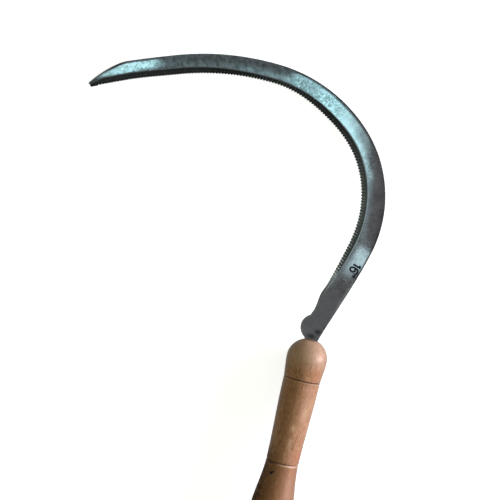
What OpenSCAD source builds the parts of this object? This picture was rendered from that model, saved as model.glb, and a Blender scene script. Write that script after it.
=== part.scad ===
// Sickle: a toothed crescent blade, forged in one piece with its tang, in a turned wooden handle.
// It lies as on a table: the handle's dome and the far bow of the blade touch the ground.
// The origin is on the ground, under the middle of the whole tool. Lengths are millimetres, angles degrees.

/* [Blade curve] */
// Direction in which the back edge leaves the handle, from square across it
lean_angle = 72.5; // [68:0.5:78]
// Back edge: length of the neck run
neck_run = 23; // [20:1:28]
// Back edge: turn of the neck run
neck_angle = -3; // [-5:0.5:2]
// Back edge: length of the heel run
heel_run = 56; // [48:1:64]
// Back edge: turn of the heel run
heel_angle = 5.5; // [2:0.5:9]
// Back edge: length of the bow, the tightest stretch
bow_run = 105; // [90:1:120]
// Back edge: turn of the bow
bow_angle = 61.5; // [52:0.5:70]
// Back edge: length of the shoulder after the bow
shoulder_run = 84; // [70:1:98]
// Back edge: turn of the shoulder
shoulder_angle = 40; // [32:0.5:48]
// Back edge: length of the reach
reach_run = 83; // [70:1:96]
// Back edge: turn of the reach
reach_angle = 22.5; // [15:0.5:30]
// Back edge: length of the nearly straight fore run
fore_run = 38; // [28:1:48]
// Back edge: turn of the fore run
fore_angle = 2.5; // [0:0.5:6]
// Back edge: length of the corner that starts the point
corner_run = 9; // [6:0.5:14]
// Back edge: turn of the corner that starts the point
corner_angle = 15; // [10:0.5:20]
// Back edge: length of the slanting point
point_run = 28; // [20:0.5:32]
// Back edge: turn of the slanting point
point_angle = 19; // [12:0.5:24]

/* [Blade width] */
// Width just above the ear
root_w = 15.9; // [13.5:0.1:17]
// Width of the heel, where the teeth start
heel_w = 18.5; // [16.5:0.1:21]
// Width of the belly, the widest stretch
belly_w = 19.8; // [18:0.1:22]
// Width at the end of the bow and a little way past it
bow_w = 18.3; // [16:0.1:20]
// Width at the end of the shoulder
shoulder_w = 15.5; // [13.5:0.1:17.5]
// Width at the end of the reach
reach_w = 15.7; // [13.5:0.1:17.5]
// Width where the point starts
fore_w = 15; // [13.4:0.1:17]
// Width of the blunt end of the point
end_w = 3.8; // [2.6:0.1:5]

/* [Blade section] */
// Thickness of the blade's middle at the heel
heel_t = 3; // [2.4:0.1:3.8]
// Thickness of the blade's middle at the point
point_t = 2.2; // [1.6:0.1:3]
// How much thinner the back edge is than the middle
back_drop = 0.7; // [0.3:0.1:0.9]
// How much thinner the crease above the bevel is than the middle
crease_drop = 0.2; // [0:0.05:0.4]
// Thickness left at the toothed edge
edge_t = 0.5; // [0.3:0.1:0.8]
// Width of the bevel round the bow
bow_bevel = 5.2; // [4:0.1:6.5]
// Width of the bevel at its narrowest, after the shoulder
shoulder_bevel = 3.4; // [2.8:0.1:5]
// Width of the bevel towards the point
reach_bevel = 5.3; // [3.5:0.1:6]

/* [Teeth] */
// Distance along the back edge from the handle to the heel, where the teeth start
heel_at = 34; // [30:1:40]
// Distance from one tooth to the next
tooth_pitch = 2.35; // [2:0.05:4]
// Depth of the notch between two teeth
tooth_depth = 0.9; // [0.6:0.1:1.8]
// Length of the filed groove that runs from each notch up the bevel
groove_len = 2.5; // [2:0.1:2.8]
// Distance that each tooth leans back towards the handle
tooth_rake = 0.5; // [0:0.1:0.8]

/* [Ear and neck] */
// Width of the neck where it enters the handle
neck_w = 10.8; // [9:0.1:12]
// Thickness of the neck where it enters the handle
neck_t = 4.4; // [3.8:0.1:5.4]
// Depth of the neck's shoulders below the top of the handle's dome
seat_depth = 0.5; // [0.2:0.1:0.8]
// Radius of the ear, the rounded lobe on the inner side
ear_r = 10.4; // [9.5:0.1:12]
// Height of the ear's centre above the handle
ear_rise = 9.1; // [8:0.1:10.5]
// Sideways place of the ear's centre, from the handle's axis
ear_side = -0.5; // [-1:0.1:1.5]
// Depth of the hammer dent across the neck
dent_depth = 0.6; // [0.1:0.1:1]

/* [Tang] */
// Width of the tang halfway down the handle
tang_w = 7; // [5.5:0.1:9]
// Thickness of the tang halfway down the handle
tang_t = 4; // [3.2:0.1:5]
// Diameter of the tang's round end
tang_end_d = 5; // [4:0.1:6]
// Length of the tang's round end inside the handle
tang_round = 20; // [12:1:32]
// Diameter of the riveted head on the tang's end
head_d = 8.4; // [7.2:0.1:10]
// Height of the riveted head
head_h = 1.8; // [1.2:0.1:2.6]
// Gap between the tang and the wood burnt to fit it
tang_gap = 0.1; // [0.05:0.05:0.3]

/* [Handle] */
// Length of the handle
handle_len = 152; // [148:1:180]
// Diameter of the dome at the top of the handle
dome_d = 32; // [31:0.2:36]
// Diameter of the grip just below the dome
grip_d = 29; // [27.4:0.2:30.4]
// Distance of the grip's top from the top of the dome
grip_at = 36; // [34:1:44]
// Diameter of the waist
waist_d = 25.8; // [23:0.2:27.2]
// Distance of the waist from the top of the dome
waist_at = 98.5; // [88:0.5:108]
// Diameter of the swell at the butt
butt_d = 34; // [30:0.2:36]
// Distance of the swell from the butt face
butt_rise = 10; // [6:0.5:14]
// Diameter of the flat butt face
face_d = 25; // [22:0.5:28]
// Distance of the burnt ring from the top of the dome
burn_at = 32.5; // [29:0.5:33]
// Width of the burnt ring's groove
burn_w = 1.4; // [0.8:0.1:2]
// Depth of the burnt ring's groove
burn_deep = 0.5; // [0.2:0.1:0.8]
// Width of the turned groove at the waist
groove_w = 2; // [1:0.1:3]
// Depth of the turned groove at the waist
groove_deep = 0.8; // [0.3:0.1:1.2]

/* [Tang washer] */
// Diameter of the washer under the riveted head
washer_d = 16; // [13:0.5:20]
// Thickness of the washer
washer_t = 1.5; // [1:0.1:2.5]
// Gap between the washer's hole and the tang
washer_gap = 0.1; // [0.05:0.05:0.3]

/* [Lying pose] */
// Distance along the back edge of the place that touches the ground, short of the point's tip
rest_short = 138; // [110:1:160]

/* [Hidden] */
$fn = 96;

// Small amount by which a cut passes the surface it opens
cut_past = 1;
// A run that turns less than this is taken as straight
LEVEL_ANGLE = 0.01;

// Blends: ease runs from 0 to 1 with level ends, mix goes from a to b, and knots reads a table of
// [place, value] pairs with a level stretch at each pair
function ease(f) = let (g = max(0, min(1, f))) g * g * (3 - 2 * g);
function mix(a, b, f) = a + (b - a) * f;
function knots(s, table, i = 0) =
    i >= len(table) - 1 || s < table[0][0] ? table[min(i, len(table) - 1)][1]
    : s > table[i + 1][0] ? knots(s, table, i + 1)
    : mix(table[i][1], table[i + 1][1], ease((s - table[i][0]) / (table[i + 1][0] - table[i][0])));

// The back edge is a chain of arcs, each tangent to the one before: [length, turn]
RUNS = [
    [neck_run, neck_angle],
    [heel_run, heel_angle],
    [bow_run, bow_angle],
    [shoulder_run, shoulder_angle],
    [reach_run, reach_angle],
    [fore_run, fore_angle],
    [corner_run, corner_angle],
    [point_run, point_angle],
];

// A place on the back edge is [x, y, direction, distance from the handle]
function go(from, run, turn) = let (
    chord = abs(turn) < LEVEL_ANGLE ? run : 360 * run / (PI * turn) * sin(turn / 2),
    way = from[2] + turn / 2
) [from[0] + chord * cos(way), from[1] + chord * sin(way), from[2] + turn, from[3] + run];
function chain(from, i = 0) =
    i == len(RUNS) ? [from] : concat([from], chain(go(from, RUNS[i][0], RUNS[i][1]), i + 1));
ENDS = chain([neck_w / 2, -seat_depth, lean_angle, 0]);
BACK_LEN = ENDS[len(RUNS)][3];
function run_of(s, i = 0) = i == len(RUNS) - 1 || s < ENDS[i + 1][3] ? i : run_of(s, i + 1);
function back(s) = let (
    i = run_of(s),
    part = s - ENDS[i][3]
) go(ENDS[i], part, RUNS[i][1] * part / RUNS[i][0]);

// Places along the back edge: the end of the ear, the widest place, a little way into the bow, the ends
// of the runs, and the place past the bow up to which the blade and the bevel keep their widths
ear_end = 18;
belly_in = 13;
bow_hold = 20;
belly_at = neck_run + heel_run + belly_in;
bow_end = ENDS[3][3];
shoulder_end = ENDS[4][3];
reach_end = ENDS[5][3];
point_from = ENDS[6][3];

WIDTHS = [
    [ear_end, root_w],
    [heel_at, heel_w],
    [belly_at, belly_w],
    [bow_end, bow_w],
    [bow_end + bow_hold, bow_w],
    [shoulder_end, shoulder_w],
    [reach_end, reach_w],
    [point_from, fore_w],
];
ear_bevel = 2;
BEVELS = [
    [ear_end, ear_bevel],
    [belly_at, bow_bevel],
    [bow_end + bow_hold, bow_bevel],
    [shoulder_end, shoulder_bevel],
    [reach_end, reach_bevel],
];

// The inner edge: the ear's arc from the first angle to the second, then parallel to the back edge at the
// blade's width, then straight to the end of the point
ear_first_angle = 228;
ear_last_angle = 117;
ear_step = 1;
function ear_point(f) = let (
    way = mix(ear_first_angle, ear_last_angle, f)
) [ear_side + ear_r * cos(way), ear_rise + ear_r * sin(way)];
function across(s, w) = let (p = back(s)) [p[0] - w * sin(p[2]), p[1] + w * cos(p[2])];
function edge(s) =
    s <= 0 ? [-neck_w / 2, -seat_depth]
    : s < ear_end ? ear_point((s - ear_step) / (ear_end - 2 * ear_step))
    : s <= point_from ? across(s, knots(s, WIDTHS))
    : mix(across(point_from, fore_w), across(BACK_LEN, end_w), (s - point_from) / (BACK_LEN - point_from));

// Length of the inner edge against the distance along the back edge, so that the teeth are evenly spaced.
// They start just before the heel and leave the tip bare.
EDGE_STEP = 1;
teeth_lead = 2;
tip_bare = 5;
EDGE_LENGTHS = [
    for (s = ear_end + ear_step, q = edge(s), l = 0;
         s <= BACK_LEN;
         s = s + EDGE_STEP, l = l + norm(edge(s) - q), q = edge(s))
    [l, s]
];
EDGE_PLACES = [for (pair = EDGE_LENGTHS) [pair[1], pair[0]]];
teeth_from = lookup(heel_at - teeth_lead, EDGE_PLACES);
teeth_to = lookup(BACK_LEN - tip_bare, EDGE_PLACES);
tooth_count = floor((teeth_to - teeth_from) / tooth_pitch);
// Share of the pitch taken by the steep side of a tooth
STEEP = 0.35;
function tooth_place(i) = lookup(teeth_from + i * tooth_pitch, EDGE_LENGTHS);

// Section of the blade. The underside is flat. The neck swells to its own thickness at the handle and has
// a dent across it, and the blade thins towards the point.
underside = -heel_t / 2;
chamfer = 0.5;
swell_len = 9;
dent_at = 5;
dent_half = 3;
point_thin = 0.75;
function thick(s) = let (
    fore = max(0, s - point_from) / (BACK_LEN - point_from)
) mix(heel_t, point_t, s / BACK_LEN) * mix(1, point_thin, fore);
function swelling(s) = (1 - ease(s / swell_len)) * (neck_t - heel_t) / 2;
function dent(s) = dent_depth * max(0, 1 - abs(s - dent_at) / dent_half);

// Sharpness runs from 0, a blunt bar, to 1, a bevel with teeth. It starts just before the heel.
sharp_lead = 4;
sharp_run = 30;
function sharpness(s) = ease((s - heel_at + sharp_lead) / sharp_run);

// Shares that shape the section: the place of the highest line across the flat, and the most that a bevel
// takes of the width, a groove of its bevel and a notch of its groove. A notch thins the edge to its land.
crown = 0.42;
bevel_most = 0.55;
groove_most = 0.7;
notch_most = 0.6;
notch_land = 0.6;

// Ten points round the section, from the underside near the back edge up, across the top to the toothed
// edge and back along the underside. Each is [distance from the back edge, height].
function blunt(w, low, top) = [
    [chamfer, low],
    [0, low + chamfer],
    [0, top - back_drop - chamfer],
    [chamfer, top - back_drop],
    [w * crown, top],
    [w - 2 * chamfer, top - crease_drop],
    [w, top - crease_drop - chamfer],
    [w, low + chamfer],
    [w - chamfer, low],
    [w / 2, low],
];
function bevelled(w, low, top, bevel, cut) = let (
    crease = top - crease_drop,
    groove = min(groove_len, bevel * groove_most),
    depth = cut * min(tooth_depth, groove * notch_most),
    land = low + edge_t * mix(1, notch_land, cut)
) [
    [chamfer, low],
    [0, low + chamfer],
    [0, top - back_drop - 2 * chamfer],
    [2 * chamfer, top - back_drop],
    [(w - bevel) * crown, top],
    [w - bevel, crease],
    [w - groove, mix(low + edge_t, crease, groove / bevel)],
    [w - depth, land],
    [w - depth, low],
    [w / 2, low],
];
// Points of one ring of the blade at the distance s; cut is 1 in the notch beside a tooth and 0 elsewhere.
// The two points at the edge slip towards the handle, which rakes the teeth.
EDGE_POINTS = [7, 8];
function ring(s, cut = 0) = let (
    p = [back(s)[0], back(s)[1]],
    q = edge(s),
    w = norm(q - p),
    inward = (q - p) / w,
    along = [inward[1], -inward[0]],
    top = underside + thick(s) + swelling(s) - dent(s),
    low = underside - swelling(s),
    bevel = min(knots(s, BEVELS), w * bevel_most),
    k = sharpness(s),
    a = blunt(w, low, top),
    b = bevelled(w, low, top, bevel, cut)
) [
    for (i = [0 : len(a) - 1])
    let (
        u = mix(a[i][0], b[i][0], k),
        z = mix(a[i][1], b[i][1], k),
        slip = len(search(i, EDGE_POINTS)) > 0 ? tooth_rake * k : 0
    )
    [p[0] + u * inward[0] + slip * along[0], p[1] + u * inward[1] + slip * along[1], z]
];

// The tang's rings have the same ten points, as a chamfered bar that becomes round. The handle's socket is
// the tang again, widened all round by grow.
function bar(y, half_w, half_t, grow = 0) = let (
    a = half_w + grow,
    b = half_t + grow
) [
    for (p = [
        [a - chamfer, -b], [a, chamfer - b], [a, b - chamfer], [a - chamfer, b], [0, b],
        [chamfer - a, b], [-a, b - chamfer], [-a, chamfer - b], [chamfer - a, -b], [0, -b]
    ])
    [p[0], y, p[1]]
];
ROD_SIDES = 10;
ROD_START = -54;
function rod(y, r) = [
    for (i = [0 : ROD_SIDES - 1])
    let (a = ROD_START + 360 / ROD_SIDES * i)
    [r * cos(a), y, r * sin(a)]
];

// The riveted head is a low dome that the hammer left flat over a share of its width. The tang's end goes
// halfway into it.
washer_y = -handle_len - washer_t;
head_flat_share = 0.4;
HEAD_STEP = 15;
HEAD = [
    for (a = [0 : HEAD_STEP : 90])
    [head_d / 2 * mix(head_flat_share, 1, cos(a)), head_h * sin(a)]
];

// The neck keeps nearly its full size for a short way into the wood, then draws down to the tang
neck_deep = 3;
neck_ease = 0.3;
draw_deep = 14;
draw_share = 0.35;
drawn_w = mix(tang_w, neck_w, draw_share);
drawn_t = mix(tang_t, neck_t, draw_share);
function tang(grow) = [
    rod(tang_round - handle_len, tang_end_d / 2 + grow),
    bar(-handle_len / 2, tang_w / 2, tang_t / 2, grow),
    bar(-seat_depth - draw_deep, drawn_w / 2, drawn_t / 2, grow),
    bar(-seat_depth - neck_deep, neck_w / 2 - neck_ease, neck_t / 2, grow),
];

// A closed body through rings of points: an end cap, a band of triangles between each ring and the next,
// and the other end cap
module loft(rings) {
    n = len(rings[0]);
    last = len(rings) - 1;
    bands = [
        for (j = [0 : last - 1], i = [0 : n - 1])
        let (a = j * n + i, b = j * n + (i + 1) % n)
        each [[a, b, a + n], [b, b + n, a + n]]
    ];
    polyhedron(
        points = [for (r = rings) each r],
        faces = concat(
            [[for (i = [n - 1 : -1 : 0]) i]],
            [[for (i = [0 : n - 1]) last * n + i]],
            bands
        ),
        convexity = 10
    );
}

// Rings of the blade: round the ear, along the plain heel, then two for each tooth
HEEL_STEP = 3;
EAR_PLACES = [for (s = [ear_step : 2 * ear_step : ear_end + ear_step]) s];
heel_to = heel_at - teeth_lead - HEEL_STEP / 2;
HEEL_PLACES = [for (s = [ear_end + ear_step + HEEL_STEP : HEEL_STEP : heel_to]) s];
TEETH_RINGS = [
    for (i = [0 : tooth_count - 1])
    each [ring(tooth_place(i)), ring(tooth_place(i + STEEP), 1)]
];
BLADE_RINGS = concat(
    [rod(washer_y - head_h / 2, tang_end_d / 2)],
    tang(0),
    [for (s = concat(0, EAR_PLACES, HEEL_PLACES)) ring(s)],
    TEETH_RINGS,
    [ring(BACK_LEN - tip_bare), ring(BACK_LEN)]
);

// Radius of the turned handle at the distance y from the top of the dome, in short straight steps along it
// and in steps of some degrees round the dome and the butt
TURN_STEP = 3;
DOME_STEP = 5;
BUTT_STEP = 15;
butt_at = handle_len - butt_rise;
RADII = [
    [dome_d / 2, dome_d / 2],
    [grip_at, grip_d / 2],
    [waist_at, waist_d / 2],
    [butt_at, butt_d / 2],
];
function turned(from, to) = let (steps = ceil((to - from) / TURN_STEP)) [
    for (i = [0 : steps]) let (y = mix(from, to, i / steps)) [knots(y, RADII), -y]
];
DOME = [for (a = [0 : DOME_STEP : 90 - DOME_STEP]) [dome_d / 2 * sin(a), -dome_d / 2 * (1 - cos(a))]];
BUTT = [
    for (a = [BUTT_STEP : BUTT_STEP : 90])
    [mix(face_d / 2, butt_d / 2, cos(a)), -butt_at - butt_rise * sin(a)]
];
PROFILE = concat(
    DOME,
    turned(dome_d / 2, burn_at - burn_w / 2),
    [[knots(burn_at, RADII) - burn_deep, -burn_at]],
    turned(burn_at + burn_w / 2, waist_at - groove_w / 2),
    [[knots(waist_at, RADII) - groove_deep, -waist_at]],
    turned(waist_at + groove_w / 2, butt_at),
    BUTT,
    [[0, -handle_len]]
);

// The lying pose: the tool turns about the line that touches the back edge at its resting place, until
// the dome touches the ground too. The dome's middle lies dome_reach from that line.
rest = back(BACK_LEN - rest_short);
dome_reach = [-rest[0], -dome_d / 2 - rest[1]] * [-sin(rest[2]), cos(rest[2])] - chamfer;
lie = asin(dome_d / 2 / norm([dome_reach, underside])) - atan2(-underside, dome_reach);
axis = [cos(rest[2]), sin(rest[2]), 0];
function lean(p) = p * cos(lie) + cross(axis, p) * sin(lie) + axis * (axis * p) * (1 - cos(lie));
HEAD_POINTS = [for (h = HEAD, side = [-1, 1]) [0, washer_y - h[1], side * h[0]]];
LEANT = [for (r = concat(BLADE_RINGS, [HEAD_POINTS]), p = r) lean(p)];
function least(i) = min([for (p = LEANT) p[i]]);
function most(i) = max([for (p = LEANT) p[i]]);
dome_low = lean([0, -dome_d / 2, 0])[2] - dome_d / 2;
middle = [(least(0) + most(0)) / 2, (least(1) + most(1)) / 2, min(least(2), dome_low)];

module laid() {
    translate(-middle)
        rotate(lie, axis)
            children();
}

module blade() {
    color("slategray")
        laid() {
            loft(BLADE_RINGS);
            translate([0, washer_y, 0])
                rotate([90, 0, 0])
                    rotate_extrude()
                        polygon(concat([[0, 0]], HEAD, [[0, head_h]]));
        }
}

module handle() {
    color("peru")
        laid()
            difference() {
                rotate([-90, 0, 0])
                    rotate_extrude()
                        polygon(PROFILE);
                loft(concat(
                    [rod(-handle_len - cut_past, tang_end_d / 2 + tang_gap)],
                    tang(tang_gap),
                    [bar(cut_past, neck_w / 2, neck_t / 2, tang_gap)]
                ));
            }
}

module tang_washer() {
    color("dimgray")
        laid()
            rotate([90, 0, 0])
                translate([0, 0, handle_len])
                    difference() {
                        cylinder(d = washer_d, h = washer_t);
                        translate([0, 0, -cut_past])
                            cylinder(d = tang_end_d + 2 * washer_gap, h = washer_t + 2 * cut_past);
                    }
}

blade();
handle();
tang_washer();
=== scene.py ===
# %% [markdown]
# A toothed sickle, lying as on a table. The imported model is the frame: it says where the blade, the
# handle and the washer are, in metres. This lesson dresses them: a blade with filed teeth and a forged
# face, a turned wooden handle with its grain, and a plain washer under the riveted head.

# %% Load the frame
import math

import bpy
import numpy as np
from mathutils import Matrix, Vector


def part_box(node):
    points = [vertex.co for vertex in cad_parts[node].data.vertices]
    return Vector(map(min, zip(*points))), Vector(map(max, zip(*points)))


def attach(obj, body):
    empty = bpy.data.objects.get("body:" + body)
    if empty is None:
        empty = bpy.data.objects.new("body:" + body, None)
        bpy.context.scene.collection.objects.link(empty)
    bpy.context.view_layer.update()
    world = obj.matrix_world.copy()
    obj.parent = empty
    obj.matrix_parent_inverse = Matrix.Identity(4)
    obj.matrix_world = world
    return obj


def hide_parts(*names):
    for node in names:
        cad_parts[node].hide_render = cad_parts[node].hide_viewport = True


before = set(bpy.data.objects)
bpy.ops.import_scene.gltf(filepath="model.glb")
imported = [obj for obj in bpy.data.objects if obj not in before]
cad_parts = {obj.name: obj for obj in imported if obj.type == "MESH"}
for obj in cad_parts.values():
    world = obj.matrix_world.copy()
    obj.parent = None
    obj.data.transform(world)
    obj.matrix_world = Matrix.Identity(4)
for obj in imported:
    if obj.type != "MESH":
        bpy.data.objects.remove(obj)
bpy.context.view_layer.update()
MM = 0.001

# %% [markdown]
# The tool is drawn flat first, in millimetres: the handle's axis is Y, the dome's top is at 0, and the
# blade lies in the XY plane. The back edge is a chain of arcs that run smoothly into each other, each
# given by its length and its turn in degrees, which is how a smith would bend it round.

# %% The back edge of the blade
NECK_LEAN = 72.5
RUNS = np.array([(23, -3), (56, 5.5), (105, 61.5), (84, 40), (83, 22.5), (38, 2.5), (9, 15), (28, 19)])
NECK_W, NECK_T, SEAT_DEPTH = 10.8, 4.4, 0.5


def walk(start, length, turn):
    """A step along an arc: the chord of the arc, in the direction halfway through its turn."""
    half = np.radians(turn) / 2
    chord = length * np.sinc(half / np.pi)
    way = np.radians(start[2]) + half
    return np.stack([start[0] + chord * np.cos(way), start[1] + chord * np.sin(way), start[2] + turn])


ends = [np.array([NECK_W / 2, -SEAT_DEPTH, NECK_LEAN])]
for run_length, run_turn in RUNS:
    ends.append(walk(ends[-1], run_length, run_turn))
ENDS = np.array(ends)
STARTS_AT = np.concatenate([[0], np.cumsum(RUNS[:, 0])])
BACK_LEN = STARTS_AT[-1]


def back(s):
    """x, y and direction of the back edge at the distance s from the handle."""
    i = np.clip(np.searchsorted(STARTS_AT, s, side="right") - 1, 0, len(RUNS) - 1)
    part = s - STARTS_AT[i]
    return walk(ENDS[i].T, part, RUNS[i, 1] * part / RUNS[i, 0])


print("back edge:", BACK_LEN, "mm, its end at", ENDS[-1].round(1))

# %% [markdown]
# Width, bevel and thickness change slowly along the blade. A table of places and values, joined by a
# curve that leaves each value level, gives them without corners.

# %% Width and thickness along the blade
EAR_END, HEEL_AT, BELLY_IN, BOW_HOLD = 18, 34, 13, 20
BOW_END, SHOULDER_END, REACH_END, POINT_FROM = STARTS_AT[3:7]
BELLY_AT = STARTS_AT[2] + BELLY_IN
FORE_W, END_W = 15, 3.8
WIDTHS = [(EAR_END, 15.9), (HEEL_AT, 18.5), (BELLY_AT, 19.8), (BOW_END, 18.3), (BOW_END + BOW_HOLD, 18.3),
          (SHOULDER_END, 15.5), (REACH_END, 15.7), (POINT_FROM, FORE_W)]
BEVELS = [(EAR_END, 2), (BELLY_AT, 5.2), (BOW_END + BOW_HOLD, 5.2), (SHOULDER_END, 3.4), (REACH_END, 5.3)]
HEEL_T, POINT_T, BACK_DROP, CREASE_DROP, EDGE_T = 3, 2.2, 0.7, 0.2, 0.5
UNDERSIDE = -HEEL_T / 2


def ease(f):
    """Runs from 0 to 1 with level ends: 3 f squared less 2 f cubed."""
    g = np.clip(f, 0, 1)
    return g * g * (3 - 2 * g)


def mix(a, b, f):
    """The value the share f of the way from a to b."""
    return a + (b - a) * f


def knots(s, table):
    """Reads a table of (place, value) pairs, with an eased curve between them."""
    at, value = np.array(table, float).T
    i = np.clip(np.searchsorted(at, s, side="right") - 1, 0, len(at) - 2)
    return mix(value[i], value[i + 1], ease((s - at[i]) / (at[i + 1] - at[i])))


def thick(s):
    """Thickness of the middle: it falls steadily to the point, and faster over the point itself."""
    fore = np.maximum(0, s - POINT_FROM) / (BACK_LEN - POINT_FROM)
    return mix(HEEL_T, POINT_T, s / BACK_LEN) * mix(1, 0.75, fore)


print("width at the belly:", knots(np.array([BELLY_AT]), WIDTHS), "mm")

# %% [markdown]
# The inner edge follows the ear, a round lobe at the heel, then keeps the blade's width from the back,
# and ends in a straight line to the point. The teeth are spaced evenly along this edge, so its length
# is measured once and read backwards.

# %% The inner edge and the places of the teeth
EAR_SIDE, EAR_RISE, EAR_R, EAR_FROM, EAR_TO, EAR_STEP = -0.5, 9.1, 10.4, 228, 117, 1
TOOTH_PITCH, TOOTH_DEPTH, GROOVE_LEN, TOOTH_RAKE, STEEP = 2.35, 0.9, 2.5, 0.5, 0.35
TEETH_LEAD, TIP_BARE = 2, 5


def across(s, w):
    """The point at the distance w square to the back edge."""
    x, y, way = back(s)
    return np.stack([x - w * np.sin(np.radians(way)), y + w * np.cos(np.radians(way))])


def edge(s):
    """The inner edge: the neck's corner, the ear's arc, the blade's width, then the straight point."""
    turn = np.radians(mix(EAR_FROM, EAR_TO, np.clip((s - EAR_STEP) / (EAR_END - 2 * EAR_STEP), 0, 1)))
    ear = np.stack([EAR_SIDE + EAR_R * np.cos(turn), EAR_RISE + EAR_R * np.sin(turn)])
    corner = np.array([[-NECK_W / 2], [-SEAT_DEPTH]])
    neck = mix(corner, ear, np.clip(s / EAR_STEP, 0, 1))
    body = across(s, knots(np.minimum(s, POINT_FROM), WIDTHS))
    share = (s - POINT_FROM) / (BACK_LEN - POINT_FROM)
    tips = across(np.array([POINT_FROM, BACK_LEN]), np.array([FORE_W, END_W]))
    point = mix(tips[:, :1], tips[:, 1:], share)
    return np.where(s < EAR_END, neck, np.where(s <= POINT_FROM, body, point))


fine = np.arange(EAR_END + 1, BACK_LEN, 0.5)
steps = np.hypot(*np.diff(edge(fine)))
EDGE_AT = np.concatenate([[0], np.cumsum(steps)])
teeth_from = np.interp(HEEL_AT - TEETH_LEAD, fine, EDGE_AT)
teeth_to = np.interp(BACK_LEN - TIP_BARE, fine, EDGE_AT)
TOOTH_COUNT = int((teeth_to - teeth_from) // TOOTH_PITCH)
print("teeth:", TOOTH_COUNT)

# %% [markdown]
# The tool lies on the ground on two places: the dome of its handle and the back of the blade, out at the
# far bow. So it leans a few degrees about the line through the second of them. The washer's place in the
# frame then says how far the drawing has to move.

# %% From the drawing to the ground
HANDLE_LEN, DOME_D, WASHER_D, WASHER_T = 152, 32, 16, 1.5
REST_SHORT, CHAMFER = 138, 0.5
rest_x, rest_y, rest_way = back(np.array([BACK_LEN - REST_SHORT]))[:, 0]
REST_AXIS = np.array([math.cos(math.radians(rest_way)), math.sin(math.radians(rest_way)), 0])
dome_reach = rest_x * REST_AXIS[1] - (DOME_D / 2 + rest_y) * REST_AXIS[0] - CHAMFER
LIE = math.asin(DOME_D / 2 / math.hypot(dome_reach, UNDERSIDE)) - math.atan2(-UNDERSIDE, dome_reach)
LEAN = np.array(Matrix.Rotation(LIE, 3, Vector(REST_AXIS)))
washer_middle = np.mean(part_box("tang_washer"), axis=0) / MM
SHIFT = washer_middle - LEAN @ np.array([0, -HANDLE_LEN - WASHER_T / 2, 0])


def laid(points):
    """Points of the drawing, in mm, as they lie on the ground, in metres."""
    return (np.asarray(points) @ LEAN.T + SHIFT) * MM


print("lean:", round(math.degrees(LIE), 2), "degrees; dome's top at", laid([0, 0, 0]).round(4))

# %% [markdown]
# The camera looks square at the blade's flat, as the photograph does, and is rolled so that the handle
# leans in the picture. Its distance follows from the scale of the picture: so many millimetres a pixel
# at a focal length that is also given in pixels.

# %% Camera
FRAME_PX, FOCAL_PX, MM_PER_PX, ROLL = 500, 900, 0.785, math.radians(13.4)
AXIS_TOP_PX = np.array([311.5, 338.8])
PICTURE_RIGHT = np.array([math.cos(ROLL), math.sin(ROLL)])
PICTURE_UP = np.array([-math.sin(ROLL), math.cos(ROLL)])


def drawing_at(px, py):
    """The place on the drawing, in mm, that shows at a pixel of the picture."""
    right, down = (np.array([px, py]) - AXIS_TOP_PX) * MM_PER_PX
    return right * PICTURE_RIGHT - down * PICTURE_UP


FOOT = drawing_at(FRAME_PX / 2, FRAME_PX / 2)
CAMERA_UP_MM = FOCAL_PX * MM_PER_PX
camera_data = bpy.data.cameras.new("camera")
camera_data.sensor_width = 36
camera_data.lens = camera_data.sensor_width * FOCAL_PX / FRAME_PX
camera = bpy.data.objects.new("camera", camera_data)
bpy.context.scene.collection.objects.link(camera)
turn_about = np.column_stack([LEAN @ [*PICTURE_RIGHT, 0], LEAN @ [*PICTURE_UP, 0], LEAN @ [0, 0, 1]])
camera.matrix_world = Matrix.Translation(laid([*FOOT, CAMERA_UP_MM])) @ Matrix(turn_about).to_4x4()
bpy.context.scene.camera = camera
print("camera at", [round(v, 3) for v in camera.location], "m, lens", round(camera_data.lens, 1), "mm")

# %% [markdown]
# Every new piece is a grid of points: rings that follow each other along the piece, each with the same
# number of points round it. One function joins such a grid into a closed skin, with a fan at each end.

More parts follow.
